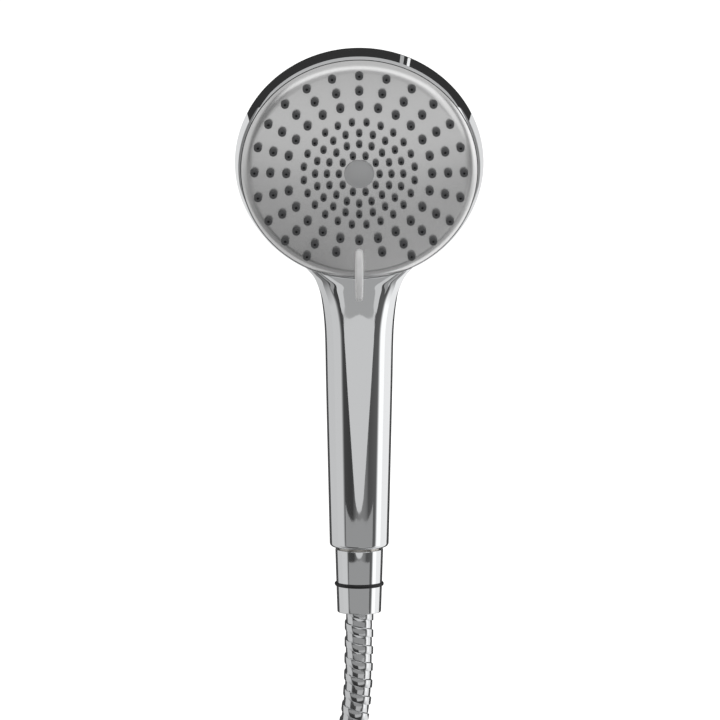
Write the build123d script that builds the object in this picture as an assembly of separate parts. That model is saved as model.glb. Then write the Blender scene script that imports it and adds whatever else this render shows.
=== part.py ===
from build123d import *
import math
import os

# Handheld shower head on its hose, lying on its back with the spray face up.
# Millimetres and degrees. While it is modelled, +Y runs up the handle from its lower end,
# +Z is the front and z = 0 is the surface that the back of the handle rests on.
# The finished model is moved so that its origin is the middle of the handset's box, at the bottom.

# ---- head: depths are measured from the middle of the spray face, inwards ----
HEAD_TILT = 15.0
HEAD_CENTRE_Y = 187.3
HEAD_CENTRE_Z = 50.0
HEAD_RADIUS = 60.3
HEAD_EDGE_DEPTH = 14.3
HEAD_DEPTH = 27.3
RIM_LIP_WIDTH = 1.1
RIM_LIP_DEPTH = 1.45
SHELL_WALL = 2.2
DOME_STEPS = 6

# ---- spray face ----
FACE_RADIUS = 57.0
FACE_GAP = 0.3
FACE_CROWN_RADIUS = 590.0
FACE_EDGE_START = 51.3
CROWN_STEPS = 4
FACE_EDGE_RADIUS = 8.5
FACE_THICKNESS = 1.8
FACE_SKIRT_WALL = 1.8
FACE_SKIRT_DEPTH = 9.0
RIM_BELOW_FACE_EDGE = 0.05

# ---- nozzles: ring radius, number in a full ring, angle of the first from the top ----
OUTER_RINGS = [(50.6, 24, 0.0), (42.92, 24, 0.0), (35.21, 24, 0.0)]
INNER_RINGS = [(26.98, 24, 7.5), (21.28, 20, 0.0), (15.58, 16, 22.5), (9.84, 10, 18.0)]
OUTER_NOZZLE_RADIUS = 2.05
INNER_NOZZLE_RADIUS = 1.6
NOZZLE_TAPER = 0.3
NOZZLE_STAND = 2.3
NOZZLE_BORE = 0.5
NOZZLE_HOLE_GAP = 0.1
MAT_THICKNESS = 1.0
MAT_GAP = 0.1
INNER_MAT_INNER = 7.4
MAT_SPLIT_RADIUS = 31.3
OUTER_MAT_RADIUS = 52.9

# ---- chamber plate, which turns with the face ----
PLATE_TOP = 7.6
PLATE_THICKNESS = 1.6
PLATE_RADIUS = 55.15
WALL_GAP = 0.03
WELL_RADIUS = 6.8
WELL_WALL = 1.4
BEARING_TOP = 6.6
MIDDLE_WALL = 1.8
OUTER_WALL_RADIUS = 52.25
OUTER_WALL = 1.3
PORT_RADIUS = 2.4
INNER_PORT_AT = 26.0
OUTER_PORT_AT = 35.5

# ---- selector: travel to each side of the middle setting ----
SELECTOR_TRAVEL = 25.0
STOP_GAP = 0.3
STOP_AT = 24.0
STOP_RADIUS = 2.0
STOP_DEPTH = 2.2
LEVER_START = 40.0
LEVER_END = 67.5
LEVER_WIDTH = 3.9
LEVER_TOP = [(-40.0, -1.2), (-46.0, 2.2), (-53.0, 3.5), (-61.5, 2.5), (-67.5, -0.9)]
LEVER_RIM_CLEARANCE = 0.7
LEVER_TIP_UNDERSIDE = 2.3
LEVER_BLOCK_WIDTH = 7.8
LEVER_BLOCK_TOP = 4.75
LEVER_BLOCK_OUTER = 53.2
LEVER_NOTCH_GAP = 0.3
LEVER_SCREWS_AT = [45.5, 50.5]
LEVER_SCREW_RADIUS = 0.9
LEVER_SCREW_HEAD_RADIUS = 1.7
LEVER_SCREW_TIP = 0.6

# ---- centre cap, pivot screw and washer ----
CAP_RADIUS = 7.2
CAP_STAND = 0.6
CAP_SKIRT_RADIUS = 6.6
CAP_SKIRT_WALL = 1.2
CAP_SKIRT_DEPTH = 3.0
CAP_HOLE_GAP = 0.05
POST_RADIUS = 4.0
POST_CLEARANCE = 0.05
POST_TOP = 6.3
PIVOT_WASHER_RADIUS = 6.2
PIVOT_WASHER_THICKNESS = 0.8
PIVOT_HEAD_RADIUS = 3.4
PIVOT_HEAD_HEIGHT = 2.0
SCREW_RADIUS = 1.45
SCREW_SLOT_WIDTH = 0.8
SCREW_SLOT_DEPTH = 0.9
PIVOT_SCREW_DEPTH = 14.5

# ---- valve hub, fixed to the head shell ----
HUB_TOP = 9.6
HUB_THICKNESS = 3.0
HUB_RADIUS = 44.0
HUB_CENTRE_BOSS_RADIUS = 5.0
HUB_CENTRE_BOSS_DEPTH = 16.0
DUCT_DEPTH = 16.6
DUCT_RADIUS = 6.8
DUCT_BORE = 4.0
DUCT_START = 56.0
DUCT_SOCKET_END = 44.0
DUCT_END = 20.0
SEAL_INNER = 19.5
SEAL_OUTER = 41.5
SEAL_HALF_ANGLE = 40.0
SEAL_TOP = 9.25
SEAL_THICKNESS = 1.6
SEAL_FIT = 0.1
PORT_SLOT_AT = 30.0
PORT_SLOT_LENGTH = 16.0
PORT_SLOT_WIDTH = 5.0
PORT_SPRING_LENGTH = 20.0
PORT_SPRING_WIDTH = 8.5
PORT_SPRING_THICKNESS = 0.4
HUB_SCREWS_AT = 37.0
HUB_SCREW_ANGLES = [90.0, 200.0, 340.0]
HUB_SCREW_HEAD_RADIUS = 2.8
HUB_SCREW_HEAD_SINK = 0.15
HUB_SCREW_HEAD_HEIGHT = 1.7
HUB_SCREW_DEPTH = 17.3
HUB_BOSS_RADIUS = 3.6
HUB_BOSS_DEPTH = 21.0
SCREW_HEAD_GAP = 0.2

# ---- click stop: a sprung ball in the hub, under a track in the chamber plate ----
DETENT_AT = 30.0
DETENT_ANGLE = 45.0
DETENT_BALL_RADIUS = 1.6
DETENT_BALL_DEPTH = 10.5
DETENT_HOLE_RADIUS = 1.7
DETENT_HOLE_DEPTH = 16.2
DETENT_BOSS_RADIUS = 3.4
DETENT_BOSS_DEPTH = 17.2
DETENT_TRACK_WIDTH = 3.6
DETENT_TRACK_DEPTH = 0.5
DETENT_TRACK_MARGIN = 5.0
DETENT_DIMPLE_RADIUS = 0.9
DETENT_DIMPLE_DEPTH = 0.9
DETENT_WIRE_RADIUS = 0.2
DETENT_COIL_RADIUS = 1.15
DETENT_COIL_PITCH = 0.95

# ---- how far a cut runs past its piece, or a joined piece runs into the other ----
CUT_PAST = 1.0

# ---- handle and neck: front edge, back edge and half width of each section ----
HANDLE_RADIUS = 14.3
HANDLE_END_ROUND = 1.8
END_OVERLAP = 0.2
HANDLE_SECTIONS = [
    ((40.0, 29.2), (40.0, 0.0), 15.2),
    ((80.0, 29.8), (80.0, 0.0), 16.1),
]
# the neck's sections lie this far below the middle of the face, along the handle
NECK_SECTIONS = [
    ((82.3, 30.0), (84.3, 0.6), 16.6),
    ((68.3, 29.7), (66.3, 3.6), 18.0),
    ((60.3, 29.2), (50.3, 8.6), 21.5),
    ((56.8, 28.8), (35.3, 12.7), 27.5),
    ((54.1, 28.2), (19.3, 17.6), 34.5),
    ((52.7, 27.6), (6.3, 21.2), 40.0),
]

# ---- waterway and inlet ----
TUBE_RADIUS = 5.5
TUBE_BORE = 3.8
TUBE_BEND = 40.0
SOCKET_CLEARANCE = 0.05
ORING_SECTION = 1.05
ORING_SET_BACK = 5.0
ORING_GROOVE_SHARE = 0.75
FLANGE_RADIUS = 12.5
FLANGE_START = 0.3
FLANGE_END = 6.0
FLANGE_GAP = 0.1
FITTING_BODY_RADIUS = 9.5
FITTING_END = 24.0
FITTING_SOCKET_START = 10.0
FITTING_BORE = 4.8
THREAD_RADIUS = 10.45
THREAD_LENGTH = 10.0
PLUG_END = 26.0
REGULATOR_RADIUS = 7.9
REGULATOR_THICKNESS = 3.5
REGULATOR_HOLE_RADIUS = 1.2
REGULATOR_HOLE_RING = 4.6
REGULATOR_HOLES = 6

# ---- conical nut and the hose end inside it ----
NUT_START = 1.2
NUT_LENGTH = 31.0
NUT_LARGE_RADIUS = 11.65
NUT_SMALL_RADIUS = 10.6
NUT_EDGE = 0.5
NUT_THREAD_GAP = 0.05
NUT_BORE_GAP = 0.1
WASHER_THICKNESS = 2.0
WASHER_RADIUS = 9.6
WASHER_BORE = 5.0
SCREEN_THICKNESS = 0.5
SCREEN_HOLE_RADIUS = 0.5
SCREEN_RINGS = [(1.6, 6), (3.3, 12)]
INSERT_FLANGE_RADIUS = 9.8
INSERT_FLANGE_THICKNESS = 2.0
INSERT_SLEEVE_RADIUS = 7.8
INSERT_BORE = 3.6
INSERT_FLOOR = 2.0
INSERT_SLEEVE_LENGTH = 16.0
GRIP_RING_AT = 17.2
GRIP_RING_SECTION = 1.9
GRIP_RING_SINK = 0.05

# ---- hose ----
HOSE_RADIUS = 7.0
HOSE_FIT = 0.05
# where the loose stretch runs, from the end fitting to the coil
HOSE_POINTS = [(0.0, -16.0, 14.3), (0.0, -47.0, 14.3), (-0.8, -80.0, 9.9)]
ARC_SHARE = 0.45
COIL_X = 33.65
COIL_Y = -210.0
COIL_OUTER_TURN = 80.0
COIL_TURN_STEP = 14.5
COIL_ENTRY_ANGLE = 155.0
COIL_LEAD = 52.0
COIL_APPROACH = 22.0
COIL_TOP_HEIGHT = 26.4
COIL_TOP_FROM = 60.0
COIL_TOP_TO = 350.0
COIL_MARGIN = 0.3
TAIL_HEIGHT = 26.4
TAIL_LENGTH = 24.0

# ---- wall end of the hose ----
WALL_SLEEVE_RADIUS = 8.0
WALL_SLEEVE_LENGTH = 16.0
WALL_HOSE_SOCKET = 12.0
WALL_NECK_RADIUS = 6.5
WALL_NECK_END = 22.0
WALL_FLANGE_RADIUS = 9.0
WALL_FLANGE_THICKNESS = 2.0
WALL_NUT_RADIUS = 12.0
WALL_NUT_START = 14.5
WALL_NUT_FLOOR = 3.0
WALL_NUT_END = 36.0
WALL_NUT_THREAD_RADIUS = 9.32
WALL_NUT_RELIEF_RADIUS = 9.7
WALL_NUT_CLEARANCE = 0.05
WALL_WASHER_RADIUS = 8.9


# ---- frames and small helpers ----

HEAD = Plane(
    origin=(0, HEAD_CENTRE_Y, HEAD_CENTRE_Z),
    x_dir=(1, 0, 0),
    z_dir=(0, -math.sin(math.radians(HEAD_TILT)), math.cos(math.radians(HEAD_TILT))),
)


def head_point(x, y, depth):
    """A point given across the face, up it and inwards from its middle."""
    return HEAD.from_local_coords(Vector(x, y, -depth))


def profile(edges):
    """A closed outline of radius and height, as a face to turn about Z."""
    return Plane.XZ * make_face(edges)


def turned(points):
    """A ring or disc from straight outline points of radius and height."""
    return revolve(profile(Polyline(*points, close=True)), Axis.Z)


def post(x, y, top, bottom, radius):
    """A cylinder between two depths below the face."""
    return Pos(x, y, -(top + bottom) / 2) * Cylinder(radius, abs(bottom - top))


def around(radius, angle):
    """A place on a ring, as across and up."""
    return radius * math.cos(math.radians(angle)), radius * math.sin(math.radians(angle))


def along(radius, start, end, z=HANDLE_RADIUS, x=0.0):
    """A cylinder along Y."""
    return Pos(x, (start + end) / 2, z) * Rot(-90, 0, 0) * Cylinder(radius, abs(end - start))


def turned_along(points, z=HANDLE_RADIUS, x=0.0, y=0.0):
    """A turned piece whose outline is given as radius and place along Y."""
    return Pos(x, y, z) * Rot(-90, 0, 0) * turned(points)


def obround(length, width, top, bottom):
    """A slot-shaped block along the head's Y, between two depths."""
    outline = Rot(0, 0, 90) * SlotOverall(length, width)
    return extrude(Pos(0, 0, -bottom) * outline, bottom - top)


def sector(inner, outer, middle, half_angle, top, bottom):
    """A part of a ring between two depths."""
    reach = 2 * outer
    steps = [middle - half_angle, middle, middle + half_angle]
    wedge = make_face(Polyline((0, 0), *[around(reach, a) for a in steps], close=True))
    ring = Circle(outer) - Circle(inner)
    return extrude(Pos(0, 0, -bottom) * (ring & wedge), bottom - top)


def on_head(shape):
    return HEAD.location * shape


# ---- spray face ----

def crown_depth(radius):
    """How far the face's outer surface lies below its middle."""
    if radius <= FACE_EDGE_START:
        return FACE_CROWN_RADIUS - math.sqrt(FACE_CROWN_RADIUS**2 - radius**2)
    lean = math.asin(FACE_EDGE_START / FACE_CROWN_RADIUS)
    centre_r = FACE_EDGE_START - FACE_EDGE_RADIUS * math.sin(lean)
    centre_d = crown_depth(FACE_EDGE_START) + FACE_EDGE_RADIUS * math.cos(lean)
    return centre_d - math.sqrt(FACE_EDGE_RADIUS**2 - (radius - centre_r) ** 2)


def crown_arc(start, end, below=0.0):
    """The face's surface between two radii, or a surface some way below it."""
    radii = [start + (end - start) * i / CROWN_STEPS for i in range(CROWN_STEPS + 1)]
    return Spline(*[(r, -crown_depth(r) - below) for r in radii])


def ring_places(rings):
    """Each nozzle's place; the lever's foot takes the room of the lowest ones in the outer rings."""
    places = []
    for radius, count, first in rings:
        for i in range(count):
            angle = 90 + first + 360 * i / count
            x, y = around(radius, angle)
            if not under_lever(x, y):
                places.append((x, y, radius))
    return places


def under_lever(x, y):
    reach = OUTER_RINGS[0][0]
    foot = math.hypot(x, y) > LEVER_START and y < 0 and abs(x) < LEVER_BLOCK_WIDTH / 2
    beside = math.hypot(x, y) > reach - OUTER_NOZZLE_RADIUS and y < 0
    return foot or (beside and abs(x) < 2 * LEVER_BLOCK_WIDTH)


def nozzle_holes(rings, nozzle_radius):
    hole = nozzle_radius + NOZZLE_HOLE_GAP
    return [post(x, y, -CUT_PAST, 2 * FACE_EDGE_RADIUS, hole) for x, y, _ in ring_places(rings)]


def faceplate():
    skirt_inner = FACE_RADIUS - FACE_SKIRT_WALL
    shoulder = (skirt_inner, -crown_depth(skirt_inner) - FACE_THICKNESS - MAT_THICKNESS)
    inner_end = edge_point(FACE_EDGE_START, FACE_THICKNESS)
    crown_end = (OUTER_MAT_RADIUS + MAT_GAP, inner_end[1])
    edges = crown_arc(0, FACE_EDGE_START)
    edges += crown_arc(FACE_EDGE_START, FACE_RADIUS)
    edges += Polyline(
        (FACE_RADIUS, -crown_depth(FACE_RADIUS)),
        (FACE_RADIUS, -FACE_SKIRT_DEPTH),
        (skirt_inner, -FACE_SKIRT_DEPTH),
        shoulder,
        crown_end,
        inner_end,
    )
    edges += crown_arc(FACE_EDGE_START, 0, FACE_THICKNESS)
    edges += Line((0, -FACE_THICKNESS), (0, 0))
    plate = revolve(profile(edges), Axis.Z)
    cuts = nozzle_holes(OUTER_RINGS, OUTER_NOZZLE_RADIUS)
    cuts += nozzle_holes(INNER_RINGS, INNER_NOZZLE_RADIUS)
    cuts.append(post(0, 0, -CUT_PAST, FACE_THICKNESS + CUT_PAST, CAP_SKIRT_RADIUS + CAP_HOLE_GAP))
    cuts += [post(0, -at, -CUT_PAST, PLATE_TOP, LEVER_SCREW_RADIUS) for at in LEVER_SCREWS_AT]
    return plate - cuts


def nozzle_mat(inner, outer, rings, nozzle_radius):
    """A rubber sheet behind the face, with the nozzles that stand through it."""
    crown_end = outer_crown(outer)
    top = edge_point(crown_end, FACE_THICKNESS)
    bottom = edge_point(crown_end, FACE_THICKNESS + MAT_THICKNESS)
    edges = crown_arc(inner, crown_end, FACE_THICKNESS)
    if outer > crown_end:
        edges += Polyline(top, (outer, top[1]), (outer, bottom[1]), bottom)
    else:
        edges += Line(top, bottom)
    edges += crown_arc(crown_end, inner, FACE_THICKNESS + MAT_THICKNESS)
    edges += Line(edge_point(inner, FACE_THICKNESS + MAT_THICKNESS), edge_point(inner, FACE_THICKNESS))
    mat = revolve(profile(edges), Axis.Z)
    nozzles = []
    bores = []
    for x, y, radius in ring_places(rings):
        root = crown_depth(radius) + FACE_THICKNESS + MAT_THICKNESS / 2
        height = root + NOZZLE_STAND - crown_depth(radius)
        tip_radius = nozzle_radius - NOZZLE_TAPER
        nozzles.append(Pos(x, y, height / 2 - root) * Cone(nozzle_radius, tip_radius, height))
        bores.append(post(x, y, -2 * NOZZLE_STAND, PLATE_TOP, NOZZLE_BORE))
    return (mat + nozzles) - bores


def outer_crown(radius):
    return min(radius, FACE_EDGE_START)


def edge_point(radius, below):
    return (outer_crown(radius), -crown_depth(outer_crown(radius)) - below)


def outer_nozzle_mat():
    mat = nozzle_mat(MAT_SPLIT_RADIUS + MAT_GAP, OUTER_MAT_RADIUS, OUTER_RINGS, OUTER_NOZZLE_RADIUS)
    width = LEVER_BLOCK_WIDTH + 2 * LEVER_NOTCH_GAP
    length = OUTER_MAT_RADIUS - LEVER_START + 2
    notch = Pos(0, -LEVER_START - length / 2 + LEVER_NOTCH_GAP, 0) * Box(width, length, 4 * PLATE_TOP)
    return mat - notch


def inner_nozzle_mat():
    return nozzle_mat(INNER_MAT_INNER, MAT_SPLIT_RADIUS - MAT_GAP, INNER_RINGS, INNER_NOZZLE_RADIUS)


def centre_cap():
    seat = crown_depth(CAP_RADIUS) - WALL_GAP
    skirt_inner = CAP_SKIRT_RADIUS - CAP_SKIRT_WALL
    rounding = CAP_STAND / 2
    return turned([
        (0, CAP_STAND),
        (CAP_RADIUS - rounding, CAP_STAND),
        (CAP_RADIUS, CAP_STAND - rounding),
        (CAP_RADIUS, -seat),
        (CAP_SKIRT_RADIUS, -seat),
        (CAP_SKIRT_RADIUS, -CAP_SKIRT_DEPTH),
        (skirt_inner, -CAP_SKIRT_DEPTH),
        (skirt_inner, -CAP_STAND),
        (0, -CAP_STAND),
    ])


def selector_lever():
    """A fin over the lower rim of the face, arched on top and standing clear of the rim."""
    top = Spline(*LEVER_TOP)
    rim = (-FACE_RADIUS, -crown_depth(FACE_RADIUS) + LEVER_RIM_CLEARANCE)
    last = (FACE_EDGE_START + FACE_RADIUS) / 2
    seat = [(-r, -crown_depth(r)) for r in (last, (FACE_EDGE_START + last) / 2, FACE_EDGE_START)]
    halfway = (FACE_EDGE_START + LEVER_START) / 2
    inner = [(-r, -crown_depth(r)) for r in (FACE_EDGE_START, halfway, LEVER_START)]
    edges = top
    edges += Polyline(LEVER_TOP[-1], (-LEVER_END, -LEVER_TIP_UNDERSIDE), rim, seat[0])
    edges += Spline(*seat)
    edges += Spline(*inner)
    edges += Line(inner[2], LEVER_TOP[0])
    side = Plane.YZ * make_face(edges)
    fin = extrude(side, LEVER_WIDTH / 2, both=True)
    pilots = [post(0, -at, -LEVER_SCREW_TIP - WALL_GAP, PLATE_TOP, LEVER_SCREW_RADIUS)
              for at in LEVER_SCREWS_AT]
    return fin - pilots


def lever_screws():
    screws = []
    for at in LEVER_SCREWS_AT:
        head_bottom = PLATE_TOP + PLATE_THICKNESS - SCREW_HEAD_GAP
        head = post(0, -at, PLATE_TOP, head_bottom, LEVER_SCREW_HEAD_RADIUS)
        screws.append(head + post(0, -at, -LEVER_SCREW_TIP, PLATE_TOP + WALL_GAP, LEVER_SCREW_RADIUS))
    return screws[0] + screws[1:]


# ---- chamber plate ----

def chamber_plate():
    """Carries the water to the inner or the outer nozzles; its ports pass over the hub's seal."""
    bottom = PLATE_TOP + PLATE_THICKNESS
    plate = post(0, 0, PLATE_TOP, bottom, PLATE_RADIUS)
    walls = [
        (WELL_RADIUS, WELL_RADIUS + WELL_WALL),
        (MAT_SPLIT_RADIUS - MIDDLE_WALL / 2, MAT_SPLIT_RADIUS + MIDDLE_WALL / 2),
        (OUTER_WALL_RADIUS - OUTER_WALL / 2, OUTER_WALL_RADIUS + OUTER_WALL / 2),
    ]
    for inner, outer in walls:
        face_back = crown_depth(outer_crown(outer)) + FACE_THICKNESS + MAT_THICKNESS + WALL_GAP
        wall = turned([(inner, -bottom), (outer, -bottom), (outer, -face_back), (inner, -face_back)])
        plate += wall
    plate += post(0, 0, BEARING_TOP, bottom, WELL_RADIUS + WELL_WALL / 2)
    length = LEVER_BLOCK_OUTER - LEVER_START
    depth = bottom - LEVER_BLOCK_TOP
    place = Pos(0, -LEVER_START - length / 2, -LEVER_BLOCK_TOP - depth / 2)
    plate += place * Box(LEVER_BLOCK_WIDTH, length, depth)
    lug_x, lug_y = around(STOP_AT, 90)
    plate += post(lug_x, lug_y, PLATE_TOP, bottom + STOP_DEPTH, STOP_RADIUS)
    cuts = [post(0, 0, 0, 2 * bottom, POST_RADIUS + POST_CLEARANCE)]
    settings = ((-1, [INNER_PORT_AT]), (0, [INNER_PORT_AT, OUTER_PORT_AT]), (1, [OUTER_PORT_AT]))
    for setting, rings in settings:
        for at in rings:
            x, y = around(at, -90 + setting * SELECTOR_TRAVEL)
            cuts.append(post(x, y, PLATE_TOP - CUT_PAST, bottom + CUT_PAST, PORT_RADIUS))
    for at in LEVER_SCREWS_AT:
        cuts.append(post(0, -at, 0, PLATE_TOP, LEVER_SCREW_RADIUS))
        cuts.append(post(0, -at, PLATE_TOP, bottom + CUT_PAST, LEVER_SCREW_HEAD_RADIUS + SCREW_HEAD_GAP))
    half = DETENT_TRACK_WIDTH / 2
    reach = SELECTOR_TRAVEL + DETENT_TRACK_MARGIN
    cuts.append(sector(DETENT_AT - half, DETENT_AT + half, DETENT_ANGLE, reach,
                       bottom - DETENT_TRACK_DEPTH, bottom + CUT_PAST))
    for setting in (-1, 0, 1):
        x, y = around(DETENT_AT, DETENT_ANGLE + setting * SELECTOR_TRAVEL)
        cuts.append(post(x, y, bottom - DETENT_DIMPLE_DEPTH, bottom + CUT_PAST, DETENT_DIMPLE_RADIUS))
    return plate - cuts


# ---- valve hub and its seal, fixed in the head ----

def valve_hub():
    bottom = HUB_TOP + HUB_THICKNESS
    hub = post(0, 0, HUB_TOP, bottom, HUB_RADIUS)
    hub += post(0, 0, POST_TOP, bottom, POST_RADIUS)
    hub += post(0, 0, bottom - CUT_PAST, HUB_CENTRE_BOSS_DEPTH, HUB_CENTRE_BOSS_RADIUS)
    detent_x, detent_y = around(DETENT_AT, DETENT_ANGLE)
    hub += post(detent_x, detent_y, bottom - CUT_PAST, DETENT_BOSS_DEPTH, DETENT_BOSS_RADIUS)
    hub += along(DUCT_RADIUS, -DUCT_START, -DUCT_END, z=-DUCT_DEPTH)
    spring_floor = SEAL_TOP + SEAL_THICKNESS + PORT_SPRING_THICKNESS
    slot_place = Pos(0, -PORT_SLOT_AT, 0)
    duct_bore_end = -PORT_SLOT_AT + PORT_SLOT_LENGTH / 2 - CUT_PAST
    cuts = [
        along(TUBE_RADIUS + SOCKET_CLEARANCE, -DUCT_START - CUT_PAST, -DUCT_SOCKET_END, z=-DUCT_DEPTH),
        along(DUCT_BORE, -DUCT_SOCKET_END - CUT_PAST, duct_bore_end, z=-DUCT_DEPTH),
        sector(SEAL_INNER - SEAL_FIT, SEAL_OUTER + SEAL_FIT, -90, SEAL_HALF_ANGLE + SEAL_FIT,
               HUB_TOP - CUT_PAST, SEAL_TOP + SEAL_THICKNESS),
        slot_place * obround(PORT_SPRING_LENGTH + 2 * SEAL_FIT, PORT_SPRING_WIDTH + 2 * SEAL_FIT,
                             HUB_TOP - CUT_PAST, spring_floor),
        slot_place * obround(PORT_SLOT_LENGTH, PORT_SLOT_WIDTH, HUB_TOP - CUT_PAST, DUCT_DEPTH),
        post(0, 0, 0, PIVOT_SCREW_DEPTH, SCREW_RADIUS),
        post(detent_x, detent_y, HUB_TOP - CUT_PAST, DETENT_HOLE_DEPTH, DETENT_HOLE_RADIUS),
    ]
    stop_half = SELECTOR_TRAVEL + math.degrees(math.asin((STOP_RADIUS + STOP_GAP) / STOP_AT))
    stop_side = STOP_RADIUS + STOP_GAP
    stop_inner = STOP_AT - stop_side
    stop_outer = STOP_AT + stop_side
    cuts.append(sector(stop_inner, stop_outer, 90, stop_half, HUB_TOP - CUT_PAST, bottom + CUT_PAST))
    for angle in HUB_SCREW_ANGLES:
        x, y = around(HUB_SCREWS_AT, angle)
        head_bottom = HUB_TOP + HUB_SCREW_HEAD_SINK + HUB_SCREW_HEAD_HEIGHT
        cuts.append(post(x, y, HUB_TOP - CUT_PAST, head_bottom, HUB_SCREW_HEAD_RADIUS + SCREW_HEAD_GAP))
        cuts.append(post(x, y, HUB_TOP - CUT_PAST, bottom + CUT_PAST, SCREW_RADIUS))
    return hub - cuts


def port_seal():
    pad = sector(SEAL_INNER, SEAL_OUTER, -90, SEAL_HALF_ANGLE, SEAL_TOP, SEAL_TOP + SEAL_THICKNESS)
    slot = Pos(0, -PORT_SLOT_AT, 0) * obround(PORT_SLOT_LENGTH, PORT_SLOT_WIDTH, 0, 2 * HUB_TOP)
    return pad - slot


def port_seal_spring():
    top = SEAL_TOP + SEAL_THICKNESS
    bottom = top + PORT_SPRING_THICKNESS
    plate = obround(PORT_SPRING_LENGTH, PORT_SPRING_WIDTH, top, bottom)
    return Pos(0, -PORT_SLOT_AT, 0) * (plate - obround(PORT_SLOT_LENGTH, PORT_SLOT_WIDTH, 0, 2 * bottom))


def screw_slot(x, y, top, head_radius):
    return Pos(x, y, -top - SCREW_SLOT_DEPTH / 2) * Box(2 * head_radius, SCREW_SLOT_WIDTH, SCREW_SLOT_DEPTH)


def hub_screws():
    screws = []
    top = HUB_TOP + HUB_SCREW_HEAD_SINK
    for angle in HUB_SCREW_ANGLES:
        x, y = around(HUB_SCREWS_AT, angle)
        screw = post(x, y, top, top + HUB_SCREW_HEAD_HEIGHT, HUB_SCREW_HEAD_RADIUS)
        screw += post(x, y, top, HUB_SCREW_DEPTH, SCREW_RADIUS)
        screws.append(screw - screw_slot(x, y, top, HUB_SCREW_HEAD_RADIUS))
    return screws[0] + screws[1:]


def pivot_washer():
    top = POST_TOP - PIVOT_WASHER_THICKNESS
    return post(0, 0, top, POST_TOP, PIVOT_WASHER_RADIUS) - post(0, 0, 0, HUB_TOP, SCREW_RADIUS)


def pivot_screw():
    head_bottom = POST_TOP - PIVOT_WASHER_THICKNESS
    head_top = head_bottom - PIVOT_HEAD_HEIGHT
    screw = post(0, 0, head_top, head_bottom, PIVOT_HEAD_RADIUS)
    screw += post(0, 0, head_top, PIVOT_SCREW_DEPTH - WALL_GAP, SCREW_RADIUS)
    return screw - screw_slot(0, 0, head_top, PIVOT_HEAD_RADIUS)


def detent_ball():
    x, y = around(DETENT_AT, DETENT_ANGLE)
    return Pos(x, y, -DETENT_BALL_DEPTH) * Sphere(DETENT_BALL_RADIUS)


def detent_spring():
    x, y = around(DETENT_AT, DETENT_ANGLE)
    bottom = -DETENT_HOLE_DEPTH + 2 * DETENT_WIRE_RADIUS
    top = -DETENT_BALL_DEPTH - DETENT_BALL_RADIUS - 2 * DETENT_WIRE_RADIUS
    path = Helix(DETENT_COIL_PITCH, top - bottom, DETENT_COIL_RADIUS)
    wire = sweep(Plane(origin=path @ 0, z_dir=path % 0) * Circle(DETENT_WIRE_RADIUS), path=path)
    return Pos(x, y, bottom) * wire


# ---- body shell: head drum, neck and handle in one ----

def dome_depth(radius, inset):
    """Depth of the head's rounded back, or of a surface some way inside it."""
    rise = HEAD_DEPTH - HEAD_EDGE_DEPTH
    sphere = (HEAD_RADIUS**2 + rise**2) / (2 * rise)
    centre = HEAD_DEPTH - sphere
    return centre + math.sqrt((sphere - inset) ** 2 - radius**2)


def dome_arc(radius, inset):
    radii = [radius * (1 - i / DOME_STEPS) for i in range(DOME_STEPS + 1)]
    return Spline(*[(r, -dome_depth(r, inset)) for r in radii])


def drum(front_depth):
    bore = FACE_RADIUS + FACE_GAP
    lip = bore + RIM_LIP_WIDTH
    edges = Polyline(
        (0, -front_depth),
        (bore, -front_depth),
        (lip, -front_depth - RIM_LIP_DEPTH),
        (HEAD_RADIUS, -HEAD_EDGE_DEPTH),
    )
    edges += dome_arc(HEAD_RADIUS, 0)
    edges += Line((0, -HEAD_DEPTH), (0, -front_depth))
    return revolve(profile(edges), Axis.Z)


def drum_cavity():
    bore = FACE_RADIUS + FACE_GAP
    edges = Polyline((0, HEAD_DEPTH), (bore, HEAD_DEPTH), (bore, -dome_depth(bore, SHELL_WALL)))
    edges += dome_arc(bore, SHELL_WALL)
    edges += Line((0, -HEAD_DEPTH + SHELL_WALL), (0, HEAD_DEPTH))
    return revolve(profile(edges), Axis.Z)


def neck_section(front, back, half_width, inset):
    """An ellipse across the handle, given by its front and back edge."""
    span = math.dist(front, back)
    up = ((front[0] - back[0]) / span, (front[1] - back[1]) / span)
    middle = (0, (front[0] + back[0]) / 2, (front[1] + back[1]) / 2)
    plane = Plane(origin=middle, x_dir=(1, 0, 0), z_dir=(0, -up[1], up[0]))
    return plane * Ellipse(half_width - inset, span / 2 - inset)


def neck(start, inset):
    end = ((start, 2 * HANDLE_RADIUS), (start, 0.0), HANDLE_RADIUS)
    places = [end] + HANDLE_SECTIONS
    for front, back, half_width in NECK_SECTIONS:
        front = (HEAD_CENTRE_Y - front[0], front[1])
        back = (HEAD_CENTRE_Y - back[0], back[1])
        places.append((front, back, half_width))
    sections = [neck_section(*place, inset) for place in places]
    spans = [loft([lower, upper], ruled=True) for lower, upper in zip(sections, sections[1:])]
    return spans[0] + spans[1:]


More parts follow.
